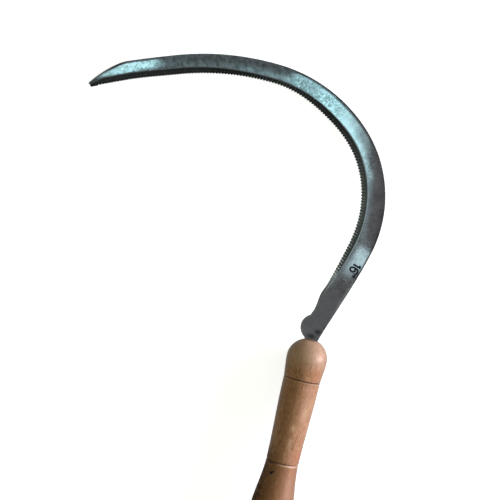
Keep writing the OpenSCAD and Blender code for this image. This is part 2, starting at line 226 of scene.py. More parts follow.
# %% A skin from rings
def skin(name, rings, smooth_angle, attributes):
    """A closed mesh from an array of rings (ring, point, xyz) in mm on the drawing.

    Each ring is joined to the next by quads, and both end rings are closed by a fan round their middle.
    The attributes are numbers for each point of the grid, for the materials to read."""
    count, around = rings.shape[:2]
    middles = rings[[0, -1]].mean(axis=1)
    points = laid(np.vstack([rings.reshape(-1, 3), middles]))
    ring, step = np.meshgrid(np.arange(count - 1), np.arange(around), indexing="ij")
    a, b = ring * around + step, ring * around + (step + 1) % around
    quads = np.stack([a, a + around, b + around, b], axis=-1).reshape(-1, 4)
    i = np.arange(around)
    j = (i + 1) % around
    first, last = count * around, count * around + 1
    before_last = (count - 1) * around
    fans = np.vstack([np.stack([np.full(around, first), i, j], axis=-1),
                      np.stack([np.full(around, last), before_last + j, before_last + i], axis=-1)])
    mesh = bpy.data.meshes.new(name)
    mesh.vertices.add(len(points))
    mesh.vertices.foreach_set("co", points.ravel())
    corners = np.concatenate([quads.ravel(), fans.ravel()])
    starts = np.concatenate([np.arange(len(quads)) * 4, len(quads) * 4 + np.arange(len(fans)) * 3])
    mesh.loops.add(len(corners))
    mesh.loops.foreach_set("vertex_index", corners)
    mesh.polygons.add(len(starts))
    mesh.polygons.foreach_set("loop_start", starts)
    mesh.update(calc_edges=True)
    for key, values in attributes.items():
        ends_too = np.concatenate([np.broadcast_to(values, (count, around)).ravel(), [0, 0]])
        mesh.attributes.new(key, "FLOAT", "POINT").data.foreach_set("value", ends_too.astype(np.float32))
    drawn = np.vstack([rings.reshape(-1, 3), middles]) / 10
    mesh.attributes.new("drawn", "FLOAT_VECTOR", "POINT").data.foreach_set("vector", drawn.ravel())
    mesh.polygons.foreach_set("use_smooth", np.ones(len(starts), bool))
    mesh.set_sharp_from_angle(angle=math.radians(smooth_angle))
    piece = bpy.data.objects.new(name, mesh)
    bpy.context.scene.collection.objects.link(piece)
    volume = signed_volume(mesh)
    print(name, "has", len(starts), "faces and holds", round(volume / MM**3, 2), "cubic mm")
    return piece


def signed_volume(mesh):
    """A sixth of the sum of each triangle's triple product: positive when the faces point outwards."""
    mesh.calc_loop_triangles()
    co = np.zeros(len(mesh.vertices) * 3)
    mesh.vertices.foreach_get("co", co)
    tri = np.zeros(len(mesh.loop_triangles) * 3, int)
    mesh.loop_triangles.foreach_get("vertices", tri)
    a, b, c = co.reshape(-1, 3)[tri.reshape(-1, 3)].transpose(1, 0, 2)
    return float(np.einsum("ij,ij->i", a, np.cross(b, c)).sum() / 6)


# %% [markdown]
# The section of the blade has a flat underside, a rounded back, a crowned face, a crease, and a bevel
# down to the toothed edge. Near the handle it is a plain bar with round sides. Both are drawn with the
# same number of points, so one can turn into the other along the heel.

# %% Sections of the blade
BACK_N, FACE_N, BEVEL_N, UNDER_N = 9, 15, 10, 6
CROWN, BEVEL_MOST, GROOVE_MOST, NOTCH_MOST, NOTCH_LAND = 0.42, 0.55, 0.7, 0.6, 0.6
BACK_ROUND = 0.45


def bar_section(w, low, top, round_by):
    """A bar with half-round sides: (distance from the back side, height) for each point round it."""
    middle, half = (top + low) / 2, (top - low) / 2
    up = np.radians(np.linspace(-90, 90, BACK_N))
    down = np.radians(np.linspace(90, -90, BEVEL_N))
    flat = np.linspace(0, 1, FACE_N + 1)[1:-1]
    under = np.linspace(1, 0, UNDER_N + 2)[1:-1]
    u = np.concatenate([round_by * (1 - np.cos(up)) + 0 * w, mix(round_by, w - round_by, flat),
                        w - round_by * (1 - np.cos(down)), mix(round_by, w - round_by, under)], axis=1)
    z = np.concatenate([middle + half * np.sin(up), top + 0 * w * flat,
                        middle + half * np.sin(down), low + 0 * w * under], axis=1)
    return u, z


def face_drop(f):
    """How far the face lies below its crown, at the share f of the way from the back to the crease: the
    cube of what is left on the way up to the crown, and a quarter wave down from it."""
    left = 1 - np.clip(f / CROWN, 0, 1)
    fall = 1 - np.cos(np.pi / 2 * np.clip((f - CROWN) / (1 - CROWN), 0, 1))
    return BACK_DROP * left**3 + CREASE_DROP * fall


def blade_section(w, low, top, bevel, cut):
    """The bevelled section, with the notch beside a tooth where cut is 1: the rounded back, the crowned
    face down to the crease, then straight lines down the bevel to the edge."""
    up = np.radians(np.linspace(-90, 90, BACK_N))
    back_top = top - BACK_DROP
    half = (back_top - low) / 2
    crease = top - CREASE_DROP
    f = np.linspace(0, 1, FACE_N + 1)[1:-1]
    groove = np.minimum(GROOVE_LEN, bevel * GROOVE_MOST)
    depth = cut * np.minimum(TOOTH_DEPTH, groove * NOTCH_MOST)
    land = low + EDGE_T * mix(1, NOTCH_LAND, cut)
    shallow = mix(low + EDGE_T, crease, groove / bevel)
    on_bevel = np.linspace(0, 1, BEVEL_N // 2)[:-1]
    in_groove = np.linspace(0, 1, BEVEL_N - len(on_bevel) - 1)
    under = np.linspace(1, 0, UNDER_N + 2)[1:-1]
    edge_u = w - depth
    u = np.concatenate([BACK_ROUND * (1 - np.cos(up)) + 0 * w, mix(BACK_ROUND, w - bevel, f),
                        mix(w - bevel, w - groove, on_bevel), mix(w - groove, edge_u, in_groove), edge_u,
                        mix(BACK_ROUND, edge_u, under)], axis=1)
    z = np.concatenate([low + half + half * np.sin(up), top - face_drop(f) + 0 * w,
                        mix(crease, shallow, on_bevel), mix(shallow, land, in_groove), low,
                        low + 0 * w * under], axis=1)
    return u, z


print("points round the blade:", BACK_N + FACE_N - 1 + BEVEL_N + UNDER_N)

# %% [markdown]
# The rings of the blade: a few along the tang inside the handle, close ones round the ear and along the
# heel, eight for each tooth, and some more to the bare tip. A tooth has a short steep side and a long
# one, so the cut grows fast and dies away slowly. The forged face isn't flat: long shallow waves, less
# than a tenth of a millimetre high, break up the light.

# %% The blade
TANG_END_D, TANG_ROUND, TANG_W, TANG_T = 5, 20, 7, 4
HEAD_D, HEAD_H, HEAD_FLAT = 8.4, 1.8, 0.4
NECK_DEEP, NECK_EASE, DRAW_DEEP, DRAW_SHARE = 3, 0.3, 14, 0.35
SWELL_LEN = 9
NECK_PITS = [(3.7, 6, 2.4, 1.6, 0.45), (-0.6, 1.8, 3.2, 1.7, 0.4)]
SHARP_LEAD, SHARP_RUN = 4, 30
# Places along the blade, and widths from the back, of the dark margin painted on the back: a painted dark reflection.
BACK_PAINTED_DARK = [(140, 0), (160, 1.4), (190, 1.4), (215, 0.5), (245, 0.5), (262, 0.8), (290, 0), (384, 0), (402, 3.2)]
HAIR = 0.01
PHASES = np.array([0, 0.12, 0.24, 0.35, 0.48, 0.61, 0.74, 0.87])


def tooth_rings():
    """Places along the back edge, and cuts, of the rings of all teeth."""
    at = teeth_from + (np.arange(TOOTH_COUNT)[:, None] + PHASES) * TOOTH_PITCH
    cut = np.where(PHASES < STEEP, PHASES / STEEP, (1 - PHASES) / (1 - STEEP))
    return np.interp(at, EDGE_AT, fine).ravel(), np.tile(cut, TOOTH_COUNT)


def waves(s, u):
    """The smith's waves in the face: a few sines of different lengths along and across, in mm."""
    return (0.02 * np.sin(s / 9 + 1.3 * np.sin(s / 23)) * np.cos(u / 6 + s / 31)
            + 0.012 * np.sin(s / 4.1 + u / 5) * np.sin(s / 37 + 1) + 0.004 * np.sin(s / 1.7 + u / 2.3))


def pits(x, y):
    """Two shallow pits left by the hammer in the neck, each a smooth hollow of its own width."""
    total = 0
    for at_x, at_y, half_x, half_y, deep in NECK_PITS:
        total = total + deep * np.exp(-(((x - at_x) / half_x) ** 2 + ((y - at_y) / half_y) ** 2))
    return total


def blade_rings():
    """All rings (ring, point, xyz), and a table of numbers for each point: the place s along the blade, the
    distance u from the back, u as a share of the face, and masks for the bevel, the crease, the top of
    each filed groove, the painted dark reflection along the back and the painted shade in the neck's pits."""
    teeth_s, teeth_cut = tooth_rings()
    heel_s = np.concatenate([np.arange(0, EAR_END + 1, 0.5), np.arange(EAR_END + 1, teeth_s[0] - 0.3, 0.6)])
    tip_s = np.linspace(teeth_s[-1] + 0.7, BACK_LEN, 12)
    places = np.concatenate([heel_s, teeth_s, tip_s])
    cut = np.concatenate([0 * heel_s, teeth_cut, 0 * tip_s])[:, None]
    start, inner = back(places)[:2, :, None], edge(places)[:, :, None]
    s = places[:, None]
    x, y = start
    w = np.hypot(*(inner - start))
    inward = (inner - start) / w
    swelling = (1 - ease(s / SWELL_LEN)) * (NECK_T - HEEL_T) / 2
    low, top = UNDERSIDE + HAIR - swelling, UNDERSIDE + thick(s) + swelling
    bevel = np.minimum(knots(s, BEVELS), w * BEVEL_MOST)
    sharp = ease((s - HEEL_AT + SHARP_LEAD) / SHARP_RUN)
    bar_u, bar_z = bar_section(w, low, top, np.minimum(CHAMFER * 2, w / 3))
    blade_u, blade_z = blade_section(w, low, top, bevel, cut)
    u, z = mix(bar_u, blade_u, sharp), mix(bar_z, blade_z, sharp)
    point = np.arange(u.shape[1])
    crease_at, edge_at = BACK_N + FACE_N - 1, BACK_N + FACE_N + BEVEL_N - 2
    face = (point >= BACK_N) & (point < crease_at)
    crease_u, edge_u = u[:, [crease_at]], u[:, [edge_at]]
    on_top = point <= edge_at
    face_fade = np.where(face, np.sin(np.pi * np.clip(u / crease_u, 0, 1)), 0)
    slip = TOOTH_RAKE * sharp * ((point >= edge_at - 2) & on_top)
    hair = HAIR * inward
    px, py = x + hair[0] + u * inward[0] + slip * inward[1], y + hair[1] + u * inward[1] - slip * inward[0]
    hollow = pits(px, py) * (z > 0)
    z = z + (waves(s, u) - 0.03) * face_fade - hollow
    numbers = {
        "along": s + 0 * u,
        "inwards": u,
        "face_share": np.clip(u / crease_u, 0, 1),
        "bevel": np.clip((u - crease_u) / (edge_u - crease_u), 0, 1) * on_top,
        "crease": np.clip(1 - np.abs(u - crease_u) / 0.5, 0, 1) * on_top * sharp,
        "groove_top": np.clip(1.5 - np.abs(w - u - GROOVE_LEN) / 0.5, 0, 1) * cut**2 * on_top,
        "back_painted_dark": np.clip((knots(s, BACK_PAINTED_DARK) - u) / 0.7, 0, 1) * on_top,
        # The pits in the neck are painted dark, as shade.
        "pit_painted_shade": np.clip(hollow * 3, 0, 1),
    }
    return np.stack([px, py, z], axis=-1), numbers


def tang_rings():
    """The tang from the riveted head up to the neck: a round end, a bar, and the neck's full width."""
    drawn_w, drawn_t = mix(TANG_W, NECK_W, DRAW_SHARE), mix(TANG_T, NECK_T, DRAW_SHARE)
    end = -HANDLE_LEN - WASHER_T
    table = np.array([(end, TANG_END_D, TANG_END_D), (TANG_ROUND - HANDLE_LEN, TANG_END_D, TANG_END_D),
                      (-HANDLE_LEN / 2, TANG_W, TANG_T), (-SEAT_DEPTH - DRAW_DEEP, drawn_w, drawn_t),
                      (-SEAT_DEPTH - NECK_DEEP, NECK_W - 2 * NECK_EASE, NECK_T)])
    rise = np.sin(np.radians(np.array([90, 75, 60, 45, 30, 15, 0])))
    head_w = HEAD_D * mix(HEAD_FLAT, 1, np.sqrt(1 - rise**2))
    head = np.stack([end - (HEAD_H - HAIR) * rise, head_w, head_w], axis=1)
    y, w, t = (column[:, None] for column in np.vstack([head, table]).T)
    u, z = bar_section(w, -t / 2, t / 2, np.minimum(w * 0.46, np.where(w == t, w, CHAMFER * 2)))
    return np.stack([w / 2 - u, y + 0 * u, z], axis=-1), u


body, body_numbers = blade_rings()
tang, tang_u = tang_rings()
tang_numbers = {"along": tang[..., 1], "inwards": tang_u}
blade = skin("blade_forged", np.concatenate([tang, body]), 28, {
    key: np.concatenate([tang_numbers.get(key, 0 * tang_u), value]) for key, value in body_numbers.items()
})
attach(blade, "root")
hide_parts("blade")

# %% [markdown]
# A plain size number is printed across the heel in black. Each stroke is a thin ribbon that lies on the
# face: its path is drawn in the blade's own places, so it follows the curve and the crown without any
# fitting.

# %% The size number
INK_T, INK_LIFT = 0.03, 0.02
STROKES = {
    "one": (1.5, [(67.5, 3.9), (66.9, 3.1), (66.0, 2.6), (65.95, 4.5), (66.0, 6.6), (66.05, 8.7)]),
    "six": (1.4, [(60.1, 3.3), (60.9, 2.6), (61.9, 2.4), (63.0, 2.9), (63.8, 4.0), (64.1, 5.6), (64.0, 7.2),
                  (63.4, 8.5), (62.2, 9.1), (61.0, 8.6), (60.4, 7.3), (60.6, 5.9), (61.5, 5.1), (62.7, 5.1),
                  (63.6, 5.9)]),
    "tick_left": (1.5, [(59.3, 2.4), (59.2, 3.2), (59.1, 4.0)]),
    "tick_right": (1.7, [(57.6, 2.4), (57.5, 3.3), (57.4, 4.3)]),
}


def smooth_path(points, steps):
    """A curve through the points: between two of them, a cubic whose ends run along their neighbours."""
    p = np.array(points, float)
    before, after = np.vstack([p[:1], p[:-1]]), np.vstack([p[1:], p[-1:]])
    slope = (after - before) / 2
    f = np.linspace(0, 1, steps, endpoint=False)[:, None, None]
    a, b, m, n = p[:-1], p[1:], slope[:-1], slope[1:]
    curve = (a * (2 * f**3 - 3 * f**2 + 1) + b * (3 * f**2 - 2 * f**3)
             + m * (f**3 - 2 * f**2 + f) + n * (f**3 - f**2))
    return np.vstack([curve.transpose(1, 0, 2).reshape(-1, 2), p[-1:]])


def on_face(s, u, lift):
    """The point at that height over the forged face, from its place along the blade and from the back."""
    x, y = across(s, u)
    crease_u = knots(s, WIDTHS) - knots(s, BEVELS)
    z = UNDERSIDE + thick(s) - face_drop((u - BACK_ROUND) / (crease_u - BACK_ROUND)) + waves(s, u)
    return np.stack([x, y, z + lift], axis=-1)


def ribbon(path, width):
    """Rings of a flat stroke with rounded ends: four corners at each point of the path, half the stroke's
    width to either side, square to the way the path runs."""
    way = np.gradient(path, axis=0)
    way = way / np.linalg.norm(way, axis=1, keepdims=True)
    gone = np.concatenate([[0], np.cumsum(np.linalg.norm(np.diff(path, axis=0), axis=1))])
    left = np.minimum(gone, gone[-1] - gone)
    half = width / 2 * np.sqrt(1 - (1 - np.clip(left / (width / 2) + 0.05, 0, 1)) ** 2)
    side = np.stack([-way[:, 1], way[:, 0]], axis=1) * half[:, None]
    a, b = (path - side).T, (path + side).T
    return np.stack([on_face(*a, INK_LIFT), on_face(*a, INK_LIFT + INK_T),
                     on_face(*b, INK_LIFT + INK_T), on_face(*b, INK_LIFT)], axis=1)


ink = []
for stroke, (stroke_width, stroke_points) in STROKES.items():
    piece = skin("size_number_" + stroke, ribbon(smooth_path(stroke_points, 6), stroke_width), 40, {})
    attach(piece, "root")
    ink.append(piece)

# %% [markdown]
# The handle was turned on a lathe, so it is one profile carried round the axis. The dome is half a ball,
# the rest runs through a few diameters on eased curves, and the burnt ring and the waist are grooves.
# The lathe leaves faint rings, and the wood has shrunk a little out of round.

# %% The handle
GRIP_D, GRIP_AT, WAIST_D, WAIST_AT = 29, 36, 25.8, 98.5
BUTT_D, BUTT_RISE, FACE_D = 34, 10, 25
BURN_AT, BURN_W, BURN_DEEP, GROOVE_W, GROOVE_DEEP = 32.5, 1.4, 0.5, 2, 0.8
BUTT_AT = HANDLE_LEN - BUTT_RISE
RADII = [(DOME_D / 2, DOME_D / 2), (GRIP_AT, GRIP_D / 2), (WAIST_AT, WAIST_D / 2), (BUTT_AT, BUTT_D / 2)]
HOLE_R, HOLE_DEEP, HANDLE_AROUND = 2.6, 6, 180
KNOT_DOWN, KNOT_TURN = 107.2, math.radians(125)
# Where the painted shade of the flanks begins, as the sine of the turn round the handle, and how fast it grows.
FLANK_TOP, FLANK_RUN = 0.7, 0.45
RING_STEPS = [(DOME_D / 2 + 0.2, 0.3), (BURN_AT - 1, 0.15), (BURN_AT + 1, 0.3), (WAIST_AT - 1, 0.15),
              (WAIST_AT + 3, 0.2), (KNOT_DOWN + 3, 0.35), (BUTT_AT, None)]


def groove(y, at, width, deep):
    """A round-bottomed groove turned into the handle."""
    return deep * np.cos(np.pi / 2 * np.clip((y - at) / (width / 2), -1, 1))


def ledge(y, at, width, deep):
    """A groove with a steep upper wall and a long lower one, which catches the light as a lip."""
    f = (y - at) / width
    return deep * np.where(f < 0, np.clip(1 + f / 0.2, 0, 1), np.clip(1 - f / 0.8, 0, 1))


def knot_pit(y, turn, radius):
    """A small pit where a knot fell out: a smooth hollow, with a second one beside it."""
    off_y, off_x = y - KNOT_DOWN, (np.mod(turn - KNOT_TURN + np.pi, 2 * np.pi) - np.pi) * radius
    pit = 1.2 * np.exp(-((off_y / 1.1) ** 2 + (off_x / 1.4) ** 2))
    beside = 0.8 * np.exp(-(((off_y + 1.4) / 0.9) ** 2 + ((off_x + 1.5) / 1.1) ** 2))
    return pit + beside


def handle_profile():
    """(radius, distance from the dome's top) from the top of the dome to the hole in the butt."""
    round_top = np.radians(np.linspace(1, 90, 40))
    dome = np.stack([DOME_D / 2 * np.sin(round_top), DOME_D / 2 * (1 - np.cos(round_top))])
    y = np.concatenate([np.arange(start, end - step / 2, step)
                        for (start, step), (end, _) in zip(RING_STEPS, RING_STEPS[1:])])
    r = knots(y, RADII) - groove(y, BURN_AT, 0.9, BURN_DEEP) - ledge(y, WAIST_AT, GROOVE_W, 0.75)
    r = r - 0.008 * (1 + np.sin(y * 5.1)) * (0.5 + 0.5 * np.sin(y / 7))
    round_butt = np.radians(np.linspace(0, 90, 16))
    butt = np.stack([mix(FACE_D, BUTT_D, np.cos(round_butt)) / 2, BUTT_AT + BUTT_RISE * np.sin(round_butt)])
    hole = np.array([[HOLE_R * 1.5, HOLE_R, HOLE_R], [HANDLE_LEN, HANDLE_LEN, HANDLE_LEN - HOLE_DEEP]])
    return np.hstack([dome, np.stack([r, y]), butt, hole])


TINTS = {
    "pale": [(69.5, 1, 2.5, 1.6, 0.45), (81.6, 1.3, 4, 1.6, 0.4), (57, 7, 9, 3, 0.3), (110, -7.4, 3, 2.2, 0.35)],
    # The dark spot on the dome's left, 4 mm down, is painted shade.
    "dark": [(40, -6.5, 5, 3.5, 0.3), (91, -11, 8, 4, 0.4), (117, -13, 6, 4, 0.5), (103, -9, 3, 3, 0.4),
             (4, -10, 5, 6, 0.3), (84, 4, 7, 2, 0.2)],
    "ruddy": [(91, 10, 5, 3, 0.5), (26, 9, 5, 3, 0.25), (104, 8, 6, 4, 0.3)],
}


def tint(spots, down, x):
    """How much of a tint the wood of the upper side takes up: the sum of soft round spots, each given by
    its place down the handle and across it, its half length, half width and strength."""
    total = 0
    for at_down, at_x, half_down, half_x, strength in spots:
        total = total + strength * np.exp(-(((down - at_down) / half_down) ** 2 + ((x - at_x) / half_x) ** 2))
    return total


profile_r, profile_y = (column[:, None] for column in handle_profile())
about = np.linspace(0, 2 * np.pi, HANDLE_AROUND, endpoint=False)
out_of_round = 1 - 0.003 * (1 - np.cos(2 * about + 0.6))
knot = knot_pit(profile_y, about, profile_r)
radius = (profile_r - HAIR) * out_of_round - 0.7 * knot
handle_rings = np.stack([radius * np.cos(about), -profile_y + 0 * about, radius * np.sin(about)], axis=-1)
upper_side = np.sin(about) > 0
tints = {key: tint(spots, profile_y, radius * np.cos(about)) * upper_side for key, spots in TINTS.items()}
handle = skin("handle_turned", handle_rings[::-1], 40, {
    "down": profile_y[::-1],
    "out": profile_r[::-1],
    "knot": np.clip(knot, 0, 1)[::-1],
    "painted_flank_shade": np.clip((FLANK_TOP - np.sin(about)) / FLANK_RUN, 0, 1),
    **{key: values[::-1] for key, values in tints.items()},
})
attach(handle, "root")
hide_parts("handle")

# %% [markdown]
# Shader helpers. A material is a small net of nodes, so two short functions make a node with its values
# and join them, and a third turns a colour as seen on screen into the linear value the shader wants.

# %% Shader helpers
def linear(red, green, blue):
    """A screen colour from 0 to 255 as a linear colour for a shader."""
    c = np.array([red, green, blue]) / 255
    low = c / 12.92
    high = ((c + 0.055) / 1.055) ** 2.4
    return (*np.where(c <= 0.04045, low, high), 1)


def add(tree, kind, inputs=None, **settings):
    """A node of that kind, with settings on the node and values or links on its inputs."""
    node = tree.nodes.new(kind)
    for key, value in settings.items():
        setattr(node, key, value)
    for key, value in (inputs or {}).items():
        if isinstance(value, bpy.types.NodeSocket):
            tree.links.new(value, node.inputs[key])
        else:
            node.inputs[key].default_value = value
    return node


def ramp(tree, fac, stops):
    """A colour ramp through (place, colour) stops."""
    node = add(tree, "ShaderNodeValToRGB", {"Fac": fac})
    elements = node.color_ramp.elements
    while len(elements) < len(stops):
        elements.new(0.5)
    for element, (place, colour) in zip(elements, stops):
        element.position = place
        element.color = colour
    return node.outputs["Color"]


def attribute(tree, name, output="Fac"):
    """A number or vector that the mesh carries on its points."""
    return add(tree, "ShaderNodeAttribute", attribute_name=name).outputs[output]


def math_node(tree, operation, a, b, clamp=False):
    """One sum on two values."""
    return add(tree, "ShaderNodeMath", {0: a, 1: b}, operation=operation, use_clamp=clamp).outputs[0]


def spread(tree, value, low, high, to_low=0.0, to_high=1.0, smooth=False):
    """A value carried from one range to another and held at its ends."""
    kind = "SMOOTHSTEP" if smooth else "LINEAR"
    ranges = {"Value": value, "From Min": low, "From Max": high, "To Min": to_low, "To Max": to_high}
    return add(tree, "ShaderNodeMapRange", ranges, interpolation_type=kind).outputs[0]


def blend_colour(tree, fac, a, b, how="MIX"):
    """Two colours mixed by a factor."""
    node = add(tree, "ShaderNodeMix", {0: fac, 6: a, 7: b}, data_type="RGBA", blend_type=how)
    return node.outputs[2]


def new_material(name):
    """An empty material with its shader, and the tree to fill."""
    material = bpy.data.materials.new(name)
    material.use_nodes = True
    return material, material.node_tree, material.node_tree.nodes["Principled BSDF"]


# %% [markdown]
# Mottling is used by the steel, the washer and the wood: cloudy patches with a finer speckle in them.
# It is a node group with a scale and an amount of speckle, and it puts out one value round a half.

# %% Mottling, a shared node group
def make_mottling():
    """Two noises added: the clouds, and a speckle eight times finer."""
    group = bpy.data.node_groups.new("mottling", "ShaderNodeTree")
    face = group.interface
    face.new_socket("Vector", in_out="INPUT", socket_type="NodeSocketVector")
    face.new_socket("Scale", in_out="INPUT", socket_type="NodeSocketFloat")
    face.new_socket("Speckle", in_out="INPUT", socket_type="NodeSocketFloat")
    face.new_socket("Value", in_out="OUTPUT", socket_type="NodeSocketFloat")
    into, out = group.nodes.new("NodeGroupInput"), group.nodes.new("NodeGroupOutput")
    clouds = add(group, "ShaderNodeTexNoise", {"Vector": into.outputs["Vector"], "Scale": into.outputs["Scale"],
                                               "Detail": 4.0, "Roughness": 0.6})
    finer = math_node(group, "MULTIPLY", into.outputs["Scale"], 8.0)
    speckle = add(group, "ShaderNodeTexNoise", {"Vector": into.outputs["Vector"], "Scale": finer, "Detail": 2.0})
    centred = math_node(group, "SUBTRACT", speckle.outputs["Fac"], 0.5)
    scaled = math_node(group, "MULTIPLY", centred, into.outputs["Speckle"])
    total = math_node(group, "ADD", clouds.outputs["Fac"], scaled)
    group.links.new(total, out.inputs["Value"])
    return group


MOTTLING = make_mottling()


def mottling(tree, vector, scale, speckle):
    """The mottling group placed in a material with its own values."""
    node = add(tree, "ShaderNodeGroup", node_tree=MOTTLING)
    tree.links.new(vector, node.inputs["Vector"])
    node.inputs["Scale"].default_value = scale
    node.inputs["Speckle"].default_value = speckle
    return node.outputs["Value"]


# %% [markdown]
# The steel of the blade. The face is mid grey, a little brown at the heel and a little blue beyond the bow,
# and painted lighter towards the crease as a reflection. The bevel is painted dark, as the dark reflection
# it shows, with a painted glint at the top of each filed groove. Pale lines along the crease and the back
# of the heel are painted highlights, the margin along the back is a painted dark reflection, and the pits
# in the neck are painted dark as shade. The number masks on the mesh say where all this is, and noise
# breaks it up: cloudy patches, the fine marks of the grinding wheel across the blade, and curled marks
# where the face was rubbed.

# %% Steel
def make_steel():
    """Metal whose colour follows the masks of the mesh, with mottled gloss and ground marks in the bump."""
    material, tree, shader = new_material("forged_steel")
    drawn = attribute(tree, "drawn", "Vector")
    along, inwards, share, bevel, crease, groove_top, back_painted_dark, pit_painted_shade = (attribute(tree, name) for name in (
        "along", "inwards", "face_share", "bevel", "crease", "groove_top", "back_painted_dark", "pit_painted_shade"))
    clouds = mottling(tree, drawn, 1.1, 0.25)
    brown = ramp(tree, clouds, [(0.35, linear(164, 161, 165)), (0.65, linear(190, 187, 190))])
    blue = ramp(tree, clouds, [(0.35, linear(148, 162, 166)), (0.65, linear(176, 188, 192))])
    face = blend_colour(tree, spread(tree, along, 120, 230, smooth=True), brown, blue)
    face = blend_colour(tree, spread(tree, along, 50, 24, 0.0, 0.6, smooth=True), face, linear(206, 211, 211))
    # A painted highlight: a pale line along the back of the heel, where the rounded edge catches the light.
    heel_painted_highlight = math_node(tree, "MULTIPLY", spread(tree, along, 20, 34, smooth=True),
                          spread(tree, along, 62, 50, smooth=True))
    heel_painted_highlight = math_node(tree, "MULTIPLY", heel_painted_highlight, spread(tree, inwards, 3.4, 1.6, smooth=True))
    face = blend_colour(tree, math_node(tree, "MULTIPLY", heel_painted_highlight, 0.9), face, linear(250, 255, 252))
    # A painted reflection: beyond the heel, the face is painted lighter and bluish towards the crease.
    inner_painted_reflection = math_node(tree, "MULTIPLY", spread(tree, share, 0.4, 0.95, smooth=True),
                       spread(tree, along, 100, 150, smooth=True))
    face = blend_colour(tree, math_node(tree, "MULTIPLY", inner_painted_reflection, 0.35), face, linear(200, 222, 228))
    # The margin along the back is painted dark, as a dark reflection.
    face = blend_colour(tree, math_node(tree, "MULTIPLY", back_painted_dark, 0.75), face, linear(84, 84, 82))
    # The bevel is painted dark, as the dark reflection it shows: lighter at the heel, darkest round the bow, lighter
    # again near the point.
    dark = ramp(tree, clouds, [(0.35, linear(84, 92, 86)), (0.65, linear(108, 116, 108))])
    dark = blend_colour(tree, spread(tree, along, 70, 110, 0.0, 0.35, smooth=True), dark, linear(150, 160, 150))
    dark = blend_colour(tree, spread(tree, along, 120, 220, 0.0, 0.9, smooth=True), dark, linear(60, 66, 62))
    dark = blend_colour(tree, spread(tree, along, 310, 340, 0.0, 0.45, smooth=True), dark, linear(118, 122, 122))
    curl = add(tree, "ShaderNodeTexNoise", {"Vector": drawn, "Scale": 3.2, "Detail": 3.0, "Roughness": 0.55,
                                            "Distortion": 1.6}).outputs["Fac"]
    from_level = math_node(tree, "ABSOLUTE", math_node(tree, "SUBTRACT", curl, 0.5), 0.0)
    on_bow = math_node(tree, "MULTIPLY", spread(tree, along, 190, 215, smooth=True),
                       spread(tree, along, 268, 248, smooth=True))
    curls = math_node(tree, "MULTIPLY", spread(tree, from_level, 0.1, 0.04), spread(tree, clouds, 0.38, 0.48))
    curls = math_node(tree, "MULTIPLY", curls, on_bow)
    face = blend_colour(tree, math_node(tree, "MULTIPLY", curls, 0.85), face, linear(92, 106, 110))
    patches = math_node(tree, "MULTIPLY", spread(tree, mottling(tree, drawn, 2.6, 0.5), 0.48, 0.6),
                        spread(tree, along, 225, 260, 0.15, 0.7))
    face = blend_colour(tree, patches, face, linear(98, 108, 102))
    colour = blend_colour(tree, spread(tree, bevel, 0.0, 0.1), face, dark)
    # A painted highlight: a pale line along the crease.
    colour = blend_colour(tree, math_node(tree, "MULTIPLY", crease, 0.6), colour, linear(214, 228, 230))
    # A painted glint, near white, at the top of each filed groove, stronger on some teeth than on others.
    by_tooth = add(tree, "ShaderNodeTexNoise", {"Vector": drawn, "Scale": 5.0, "Detail": 1.0}).outputs["Fac"]
    glint = math_node(tree, "MULTIPLY", groove_top, spread(tree, along, 150, 110, 0.4, 1.0))
    glint = math_node(tree, "MULTIPLY", glint, spread(tree, by_tooth, 0.42, 0.56, 0.15, 1.0))
    colour = blend_colour(tree, glint, colour, linear(250, 255, 250))
    # Painted shade: the pits in the neck are darkened.
    colour = blend_colour(tree, math_node(tree, "MULTIPLY", pit_painted_shade, 0.75), colour, linear(44, 46, 52))
    tree.links.new(colour, shader.inputs["Base Color"])
    roughness = spread(tree, curl, 0.42, 0.64, 0.15, 0.3)
    tree.links.new(roughness, shader.inputs["Roughness"])
    shader.inputs["Metallic"].default_value = 1.0
    strip = add(tree, "ShaderNodeCombineXYZ", {"X": along, "Y": inwards}).outputs[0]
    slanted = add(tree, "ShaderNodeMapping", {"Vector": strip, "Scale": (1.3, 0.22, 1.0),
                                              "Rotation": (0, 0, 0.12)}).outputs[0]
    ground = add(tree, "ShaderNodeTexNoise", {"Vector": slanted, "Scale": 1.0, "Detail": 2.0}).outputs["Fac"]
    grain = add(tree, "ShaderNodeTexNoise", {"Vector": drawn, "Scale": 9.0, "Detail": 3.0}).outputs["Fac"]
    height = math_node(tree, "ADD", math_node(tree, "MULTIPLY", grain, 0.25), ground)
    bump = add(tree, "ShaderNodeBump", {"Height": height, "Strength": 0.5, "Distance": 0.00005})
    tree.links.new(bump.outputs["Normal"], shader.inputs["Normal"])
    return material


def make_ink():
    """Black ink, worn a little thin in places."""
    material, tree, shader = new_material("black_ink")
    worn = mottling(tree, attribute(tree, "drawn", "Vector"), 6.0, 0.4)
    colour = ramp(tree, worn, [(0.45, linear(6, 10, 12)), (0.8, linear(40, 46, 50))])
    tree.links.new(colour, shader.inputs["Base Color"])
    tree.links.new(spread(tree, worn, 0.3, 0.7, 0.5, 0.7), shader.inputs["Roughness"])
    shader.inputs["Specular IOR Level"].default_value = 0.15
    return material


STEEL, INK = make_steel(), make_ink()
blade.data.materials.append(STEEL)
for piece in ink:
    piece.data.materials.append(INK)
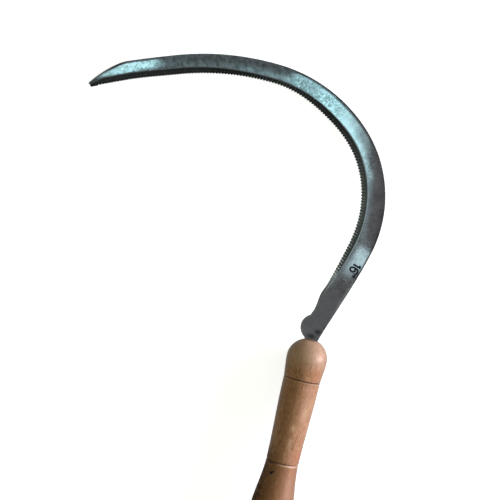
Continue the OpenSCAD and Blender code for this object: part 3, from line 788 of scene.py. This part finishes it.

# %% [markdown]
# The wood is pale and close-grained: short fibres run down the handle in broad bands of slightly
# different colour, with the small dark flecks of beech. The ring below the dome was burnt in with a wire,
# and the knot holds dirt. The corner of the waist is darkened with dirt and painted shade, and the dome
# round the neck with soot from the hot tang and painted shade. Painted shade also darkens the left side,
# the flanks and the left of the waist's lip; the dome is painted paler as light, and the waist's lip has a
# painted highlight.

# %% Wood
def make_wood():
    """Bands, fibres and flecks multiplied together, with burnt and dirty places, painted shade and painted highlights
    laid over them.
    """
    material, tree, shader = new_material("turned_wood")
    drawn = attribute(tree, "drawn", "Vector")
    down, out, knot, painted_flank_shade, pale, dark, ruddy = (attribute(tree, name) for name in (
        "down", "out", "knot", "painted_flank_shade", "pale", "dark", "ruddy"))
    stretched = add(tree, "ShaderNodeMapping", {"Vector": drawn, "Scale": (1.0, 0.16, 1.0)}).outputs[0]
    bands = mottling(tree, stretched, 1.1, 0.15)
    base = ramp(tree, bands, [(0.3, linear(182, 132, 97)), (0.5, linear(200, 148, 110)),
                              (0.7, linear(216, 164, 128))])
    long_grain = add(tree, "ShaderNodeMapping", {"Vector": drawn, "Scale": (1.0, 0.08, 1.0)}).outputs[0]
    fibres = add(tree, "ShaderNodeTexNoise", {"Vector": long_grain, "Scale": 9.0, "Detail": 4.0,
                                              "Roughness": 0.65}).outputs["Fac"]
    fibre_tone = ramp(tree, fibres, [(0.35, linear(196, 186, 174)), (0.6, linear(255, 255, 255))])
    colour = blend_colour(tree, 0.5, base, fibre_tone, "MULTIPLY")
    pith = add(tree, "ShaderNodeMapping", {"Vector": drawn, "Location": (2.6, 0.0, 1.9),
                                           "Scale": (1.0, 0.02, 1.0)}).outputs[0]
    from_pith = add(tree, "ShaderNodeVectorMath", {0: pith}, operation="LENGTH").outputs["Value"]
    wavy = math_node(tree, "ADD", from_pith, math_node(tree, "MULTIPLY", bands, 0.5))
    rings = math_node(tree, "SINE", math_node(tree, "MULTIPLY", wavy, 24.0), 0.0)
    colour = blend_colour(tree, spread(tree, rings, 0.2, 1.0, 0.0, 0.16), colour, linear(150, 104, 66))
    short = add(tree, "ShaderNodeMapping", {"Vector": drawn, "Scale": (1.0, 0.3, 1.0)}).outputs[0]
    flecks = add(tree, "ShaderNodeTexNoise", {"Vector": short, "Scale": 10.0, "Detail": 2.0}).outputs["Fac"]
    colour = blend_colour(tree, spread(tree, flecks, 0.5, 0.7, 0.0, 0.65), colour, linear(128, 90, 58))
    # Painted light: the dome is painted paler.
    colour = blend_colour(tree, spread(tree, down, 26, 14, 0.0, 0.3, smooth=True), colour, linear(228, 202, 178))
    stains = mottling(tree, drawn, 0.45, 0.5)
    colour = blend_colour(tree, spread(tree, stains, 0.52, 0.78, 0.0, 0.5), colour, linear(160, 104, 64))
    broken = spread(tree, stains, 0.35, 0.6, 0.5, 1.3)
    for amount, shade in ((pale, (232, 196, 158)), (dark, (84, 48, 10)), (ruddy, (196, 112, 74))):
        colour = blend_colour(tree, math_node(tree, "MULTIPLY", amount, broken), colour, linear(*shade))
    below = spread(tree, down, 82, 108, 0.0, 0.65, smooth=True)
    colour = blend_colour(tree, below, colour, linear(143, 96, 60))
    side = add(tree, "ShaderNodeSeparateXYZ", {0: drawn}).outputs["X"]
    # Painted shade: the left side below the waist is painted darker, and it is made rougher too.
    left = spread(tree, side, -0.5, -1.3)
    left_painted_shade = math_node(tree, "MULTIPLY", math_node(tree, "MULTIPLY", left, below),
                     spread(tree, stains, 0.35, 0.6, 0.4, 1.4))
    colour = blend_colour(tree, left_painted_shade, colour, linear(74, 40, 2))
    off_ring = math_node(tree, "ABSOLUTE", math_node(tree, "SUBTRACT", down, BURN_AT), 0.0)
    colour = blend_colour(tree, spread(tree, off_ring, 0.75, 0.25, 0.0, 0.85), colour, linear(86, 54, 34))
    in_corner = spread(tree, math_node(tree, "SUBTRACT", down, WAIST_AT), -0.9, -0.2)
    past_corner = spread(tree, math_node(tree, "SUBTRACT", down, WAIST_AT), 0.5, 0.0)
    # Pale lips below the burnt ring and the waist; at the waist the lip is a painted highlight, strongest on the lit
    # right side.
    past_ring, past_waist = (math_node(tree, "SUBTRACT", down, at + 0.35) for at in (BURN_AT, WAIST_AT))
    for past, width, strength in ((past_ring, 0.9, 0.35), (past_waist, 1.5, spread(tree, side, -0.8, 0.2, 0.0, 0.4))):
        lip = math_node(tree, "MULTIPLY", spread(tree, past, 0.0, 0.3), spread(tree, past, width, width * 0.6))
        colour = blend_colour(tree, math_node(tree, "MULTIPLY", lip, strength), colour, linear(240, 208, 178))
    # Painted shade: on the left, the waist's lip is painted dark.
    lip_painted_shade = math_node(tree, "MULTIPLY", spread(tree, past_waist, -0.4, 0.0), spread(tree, past_waist, 2.0, 1.2))
    lip_painted_shade = math_node(tree, "MULTIPLY", lip_painted_shade, spread(tree, side, -0.3, -0.9, 0.0, 0.75))
    colour = blend_colour(tree, lip_painted_shade, colour, linear(72, 46, 24))
    # The corner of the waist is darkened with dirt and painted shade.
    corner = math_node(tree, "MULTIPLY", math_node(tree, "MULTIPLY", in_corner, past_corner), 0.8)
    colour = blend_colour(tree, corner, colour, linear(84, 56, 38))
    colour = blend_colour(tree, spread(tree, knot, 0.25, 0.7), colour, linear(26, 18, 14))
    # The dome round the neck is darkened: soot from the hot tang, and painted shade where the tang goes in.
    near_neck = spread(tree, out, 6.6, 5.4, 0.0, 0.8, smooth=True)
    near_neck = math_node(tree, "MULTIPLY", near_neck, spread(tree, down, 20, 10))
    colour = blend_colour(tree, near_neck, colour, linear(70, 56, 44))
    # Painted shade: the flanks and the underside of the handle are painted darker.
    colour = blend_colour(tree, math_node(tree, "MULTIPLY", painted_flank_shade, 0.5), colour, linear(98, 84, 72))
    tree.links.new(colour, shader.inputs["Base Color"])
    roughness = math_node(tree, "ADD", spread(tree, fibres, 0.3, 0.7, 0.4, 0.52), math_node(tree, "MULTIPLY", left_painted_shade, 0.5))
    tree.links.new(roughness, shader.inputs["Roughness"])
    shader.inputs["Specular IOR Level"].default_value = 0.2
    bump = add(tree, "ShaderNodeBump", {"Height": fibres, "Strength": 0.25, "Distance": 0.0001})
    tree.links.new(bump.outputs["Normal"], shader.inputs["Normal"])
    return material


WOOD = make_wood()
handle.data.materials.append(WOOD)

# %% [markdown]
# The washer keeps its CAD shape, which is right as it is, and gets a dull steel of its own.

# %% Washer
def make_dull_steel():
    material, tree, shader = new_material("dull_steel")
    place = add(tree, "ShaderNodeTexCoord").outputs["Object"]
    clouds = mottling(tree, place, 180.0, 0.4)
    colour = ramp(tree, clouds, [(0.35, linear(92, 84, 78)), (0.65, linear(136, 130, 124))])
    tree.links.new(colour, shader.inputs["Base Color"])
    shader.inputs["Metallic"].default_value = 0.85
    shader.inputs["Roughness"].default_value = 0.5
    return material


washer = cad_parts["tang_washer"]
washer.data.materials.clear()
washer.data.materials.append(make_dull_steel())

# %% [markdown]
# A plain pale floor, a soft sky and soft lamps. The big lamp that gives the wood its shape stands low, to
# the picture's upper right. Three small ones hang over the blade and show only as gleams in it: for a
# camera square above a flat blade, a lamp shows at a place of the blade when it hangs on the line from
# the camera's mirror image through that place.

# %% Floor, lamps and sky
def seen_by_eye_or_metal(tree):
    """1 for the rays that come from the camera, from gloss or through glass, and 0 for soft light."""
    path = add(tree, "ShaderNodeLightPath").outputs
    total = math_node(tree, "ADD", path["Is Camera Ray"], path["Is Glossy Ray"])
    return math_node(tree, "ADD", total, path["Is Transmission Ray"], clamp=True)


def plain_floor():
    """A square of floor that is pale and lifted to white for the eye, and keeps the shadow. For soft light
    it is mid grey, so that it doesn't fill the dark side of the wood."""
    size = 12.0
    mesh = bpy.data.meshes.new("floor")
    mesh.from_pydata([(-size, -size, 0), (size, -size, 0), (size, size, 0), (-size, size, 0)], [], [(0, 1, 2, 3)])
    floor = bpy.data.objects.new("floor", mesh)
    bpy.context.scene.collection.objects.link(floor)
    material, tree, shader = new_material("pale_floor")
    seen = seen_by_eye_or_metal(tree)
    pale = blend_colour(tree, seen, (0.1, 0.1, 0.1, 1), (0.95, 0.95, 0.95, 1))
    tree.links.new(pale, shader.inputs["Base Color"])
    shader.inputs["Roughness"].default_value = 0.9
    shader.inputs["Specular IOR Level"].default_value = 0.0
    shader.inputs["Emission Color"].default_value = (1, 1, 1, 1)
    tree.links.new(math_node(tree, "MULTIPLY", seen, FLOOR_LIFT), shader.inputs["Emission Strength"])
    mesh.materials.append(material)


def lamp(name, size, radiance, colour, matrix):
    """A soft rectangular lamp. Its power is pi times its area times its radiance, which is how bright it
    looks in a mirror. It lights everything but doesn't show itself to the camera."""
    data = bpy.data.lights.new(name, "AREA")
    data.shape = "RECTANGLE"
    data.size, data.size_y = size
    data.energy = math.pi * size[0] * size[1] * radiance
    data.color = colour
    light = bpy.data.objects.new(name, data)
    bpy.context.scene.collection.objects.link(light)
    light.matrix_world = matrix
    light.visible_camera = False
    return light


def far_lamp(name, way, distance, size, radiance, colour=(1, 1, 1)):
    """A lamp far away in a direction of the picture (right, up, out to the eye), facing the handle's top."""
    right, up, out = np.array(way) / np.linalg.norm(way)
    place = Vector(LEAN @ [*(right * PICTURE_RIGHT + up * PICTURE_UP), out]) * distance + Vector(laid([0, 0, 0]))
    facing = (Vector(laid([0, 0, 0])) - place).to_track_quat("-Z", "Y").to_matrix().to_4x4()
    return lamp(name, size, radiance, colour, Matrix.Translation(place) @ facing)


def gleam(name, along, inwards, radiance, height):
    """A small lamp that shows in the flat blade between two places along it and two distances from its
    back, turned with the back edge there. It hangs at a height, in mm, over the blade, so it is as much
    bigger and further out as the camera's rays have spread by then. Soft surfaces don't see it."""
    spread_out = (CAMERA_UP_MM + height) / CAMERA_UP_MM
    middle = np.array([np.mean(along)])
    spot = FOOT + (across(middle, np.mean(inwards))[:, 0] - FOOT) * spread_out
    turn = math.radians(back(middle)[2, 0])
    facing_down = (Matrix(LEAN) @ Matrix.Rotation(turn, 3, "Z")).to_4x4()
    size = [(v[1] - v[0]) * spread_out * MM for v in (along, inwards)]
    light = lamp(name, size, radiance, WINDOW, Matrix.Translation(laid([*spot, height])) @ facing_down)
    light.visible_diffuse = False


def studio_sky():
    """Soft grey, darker towards one side of the picture, and pale near the horizon for the eye."""
    world = bpy.data.worlds.new("sky")
    world.use_nodes = True
    tree = world.node_tree
    way = add(tree, "ShaderNodeTexCoord").outputs["Generated"]
    bright_side = LEAN @ [*(SKY_TILT[0] * PICTURE_RIGHT + SKY_TILT[1] * PICTURE_UP), 0]
    lift = add(tree, "ShaderNodeVectorMath", {0: way, 1: bright_side}, operation="DOT_PRODUCT").outputs["Value"]
    sky = ramp(tree, spread(tree, lift, -1.0, 1.0), SKY)
    seen = seen_by_eye_or_metal(tree)
    sky = blend_colour(tree, seen, SOFT, sky)
    height = add(tree, "ShaderNodeSeparateXYZ", {0: way}).outputs["Z"]
    pale = math_node(tree, "MULTIPLY", spread(tree, height, 0.28, 0.36, 1.0, 0.0), seen)
    colour = blend_colour(tree, pale, sky, (1, 1, 1, 1))
    tree.links.new(colour, tree.nodes["Background"].inputs["Color"])
    bpy.context.scene.world = world


FLOOR_LIFT = 0.78
WINDOW, SHEEN, DAYLIGHT = (0.65, 0.97, 1.0), (1.0, 0.74, 0.72), (0.98, 0.98, 1.16)
KEY_WAY = (0.93, 0.12, 0.22)
SKY_TILT, SOFT = (-0.6, 0.8), (0.25, 0.265, 0.195, 1)
SKY = [(0.15, (0.06, 0.062, 0.065, 1)), (0.5, (0.175, 0.175, 0.18, 1)), (0.85, (0.23, 0.23, 0.24, 1))]
plain_floor()
studio_sky()
key = far_lamp("key", KEY_WAY, 3.2, (2.4, 1.8), 11.3, DAYLIGHT)
key.visible_glossy = False
glint = far_lamp("glint", KEY_WAY, 3.2, (2.4, 1.8), 1.5, DAYLIGHT)
glint.visible_diffuse = False
sheen = far_lamp("sheen", (0.95, 0.0, 0.3), 3.2, (1.1, 2.0), 62.0, SHEEN)
sheen.visible_diffuse = False
on_wood = bpy.data.collections.new("lit_by_the_sheen")
on_wood.objects.link(handle)
sheen.light_linking.receiver_collection = on_wood
GLEAMS = [((367, 418), (-9, 13), 1.9), ((170, 256), (-6, 22), 0.5), ((187, 251), (-6, 22), 0.7),
          ((197, 230), (-6, 22), 0.75), ((212, 256), (-15, 6), 0.8), ((146, 186), (12.3, 20), 0.65),
          ((160, 186), (12, 20), 0.5), ((92, 145), (15.2, 20), 0.4), ((250, 300), (10, 18), 0.25),
          ((250, 360), (9, 18), 0.12), ((64, 81), (-20, 14), 1.35), ((56, 64), (4, 15), 0.75),
          ((48, 150), (26, 36), 0.4)]
for number, (gleam_along, gleam_inwards, gleam_radiance) in enumerate(GLEAMS):
    gleam("gleam_%d" % number, gleam_along, gleam_inwards, gleam_radiance, 38 + number / 2)
bpy.context.scene.view_settings.view_transform = "Standard"
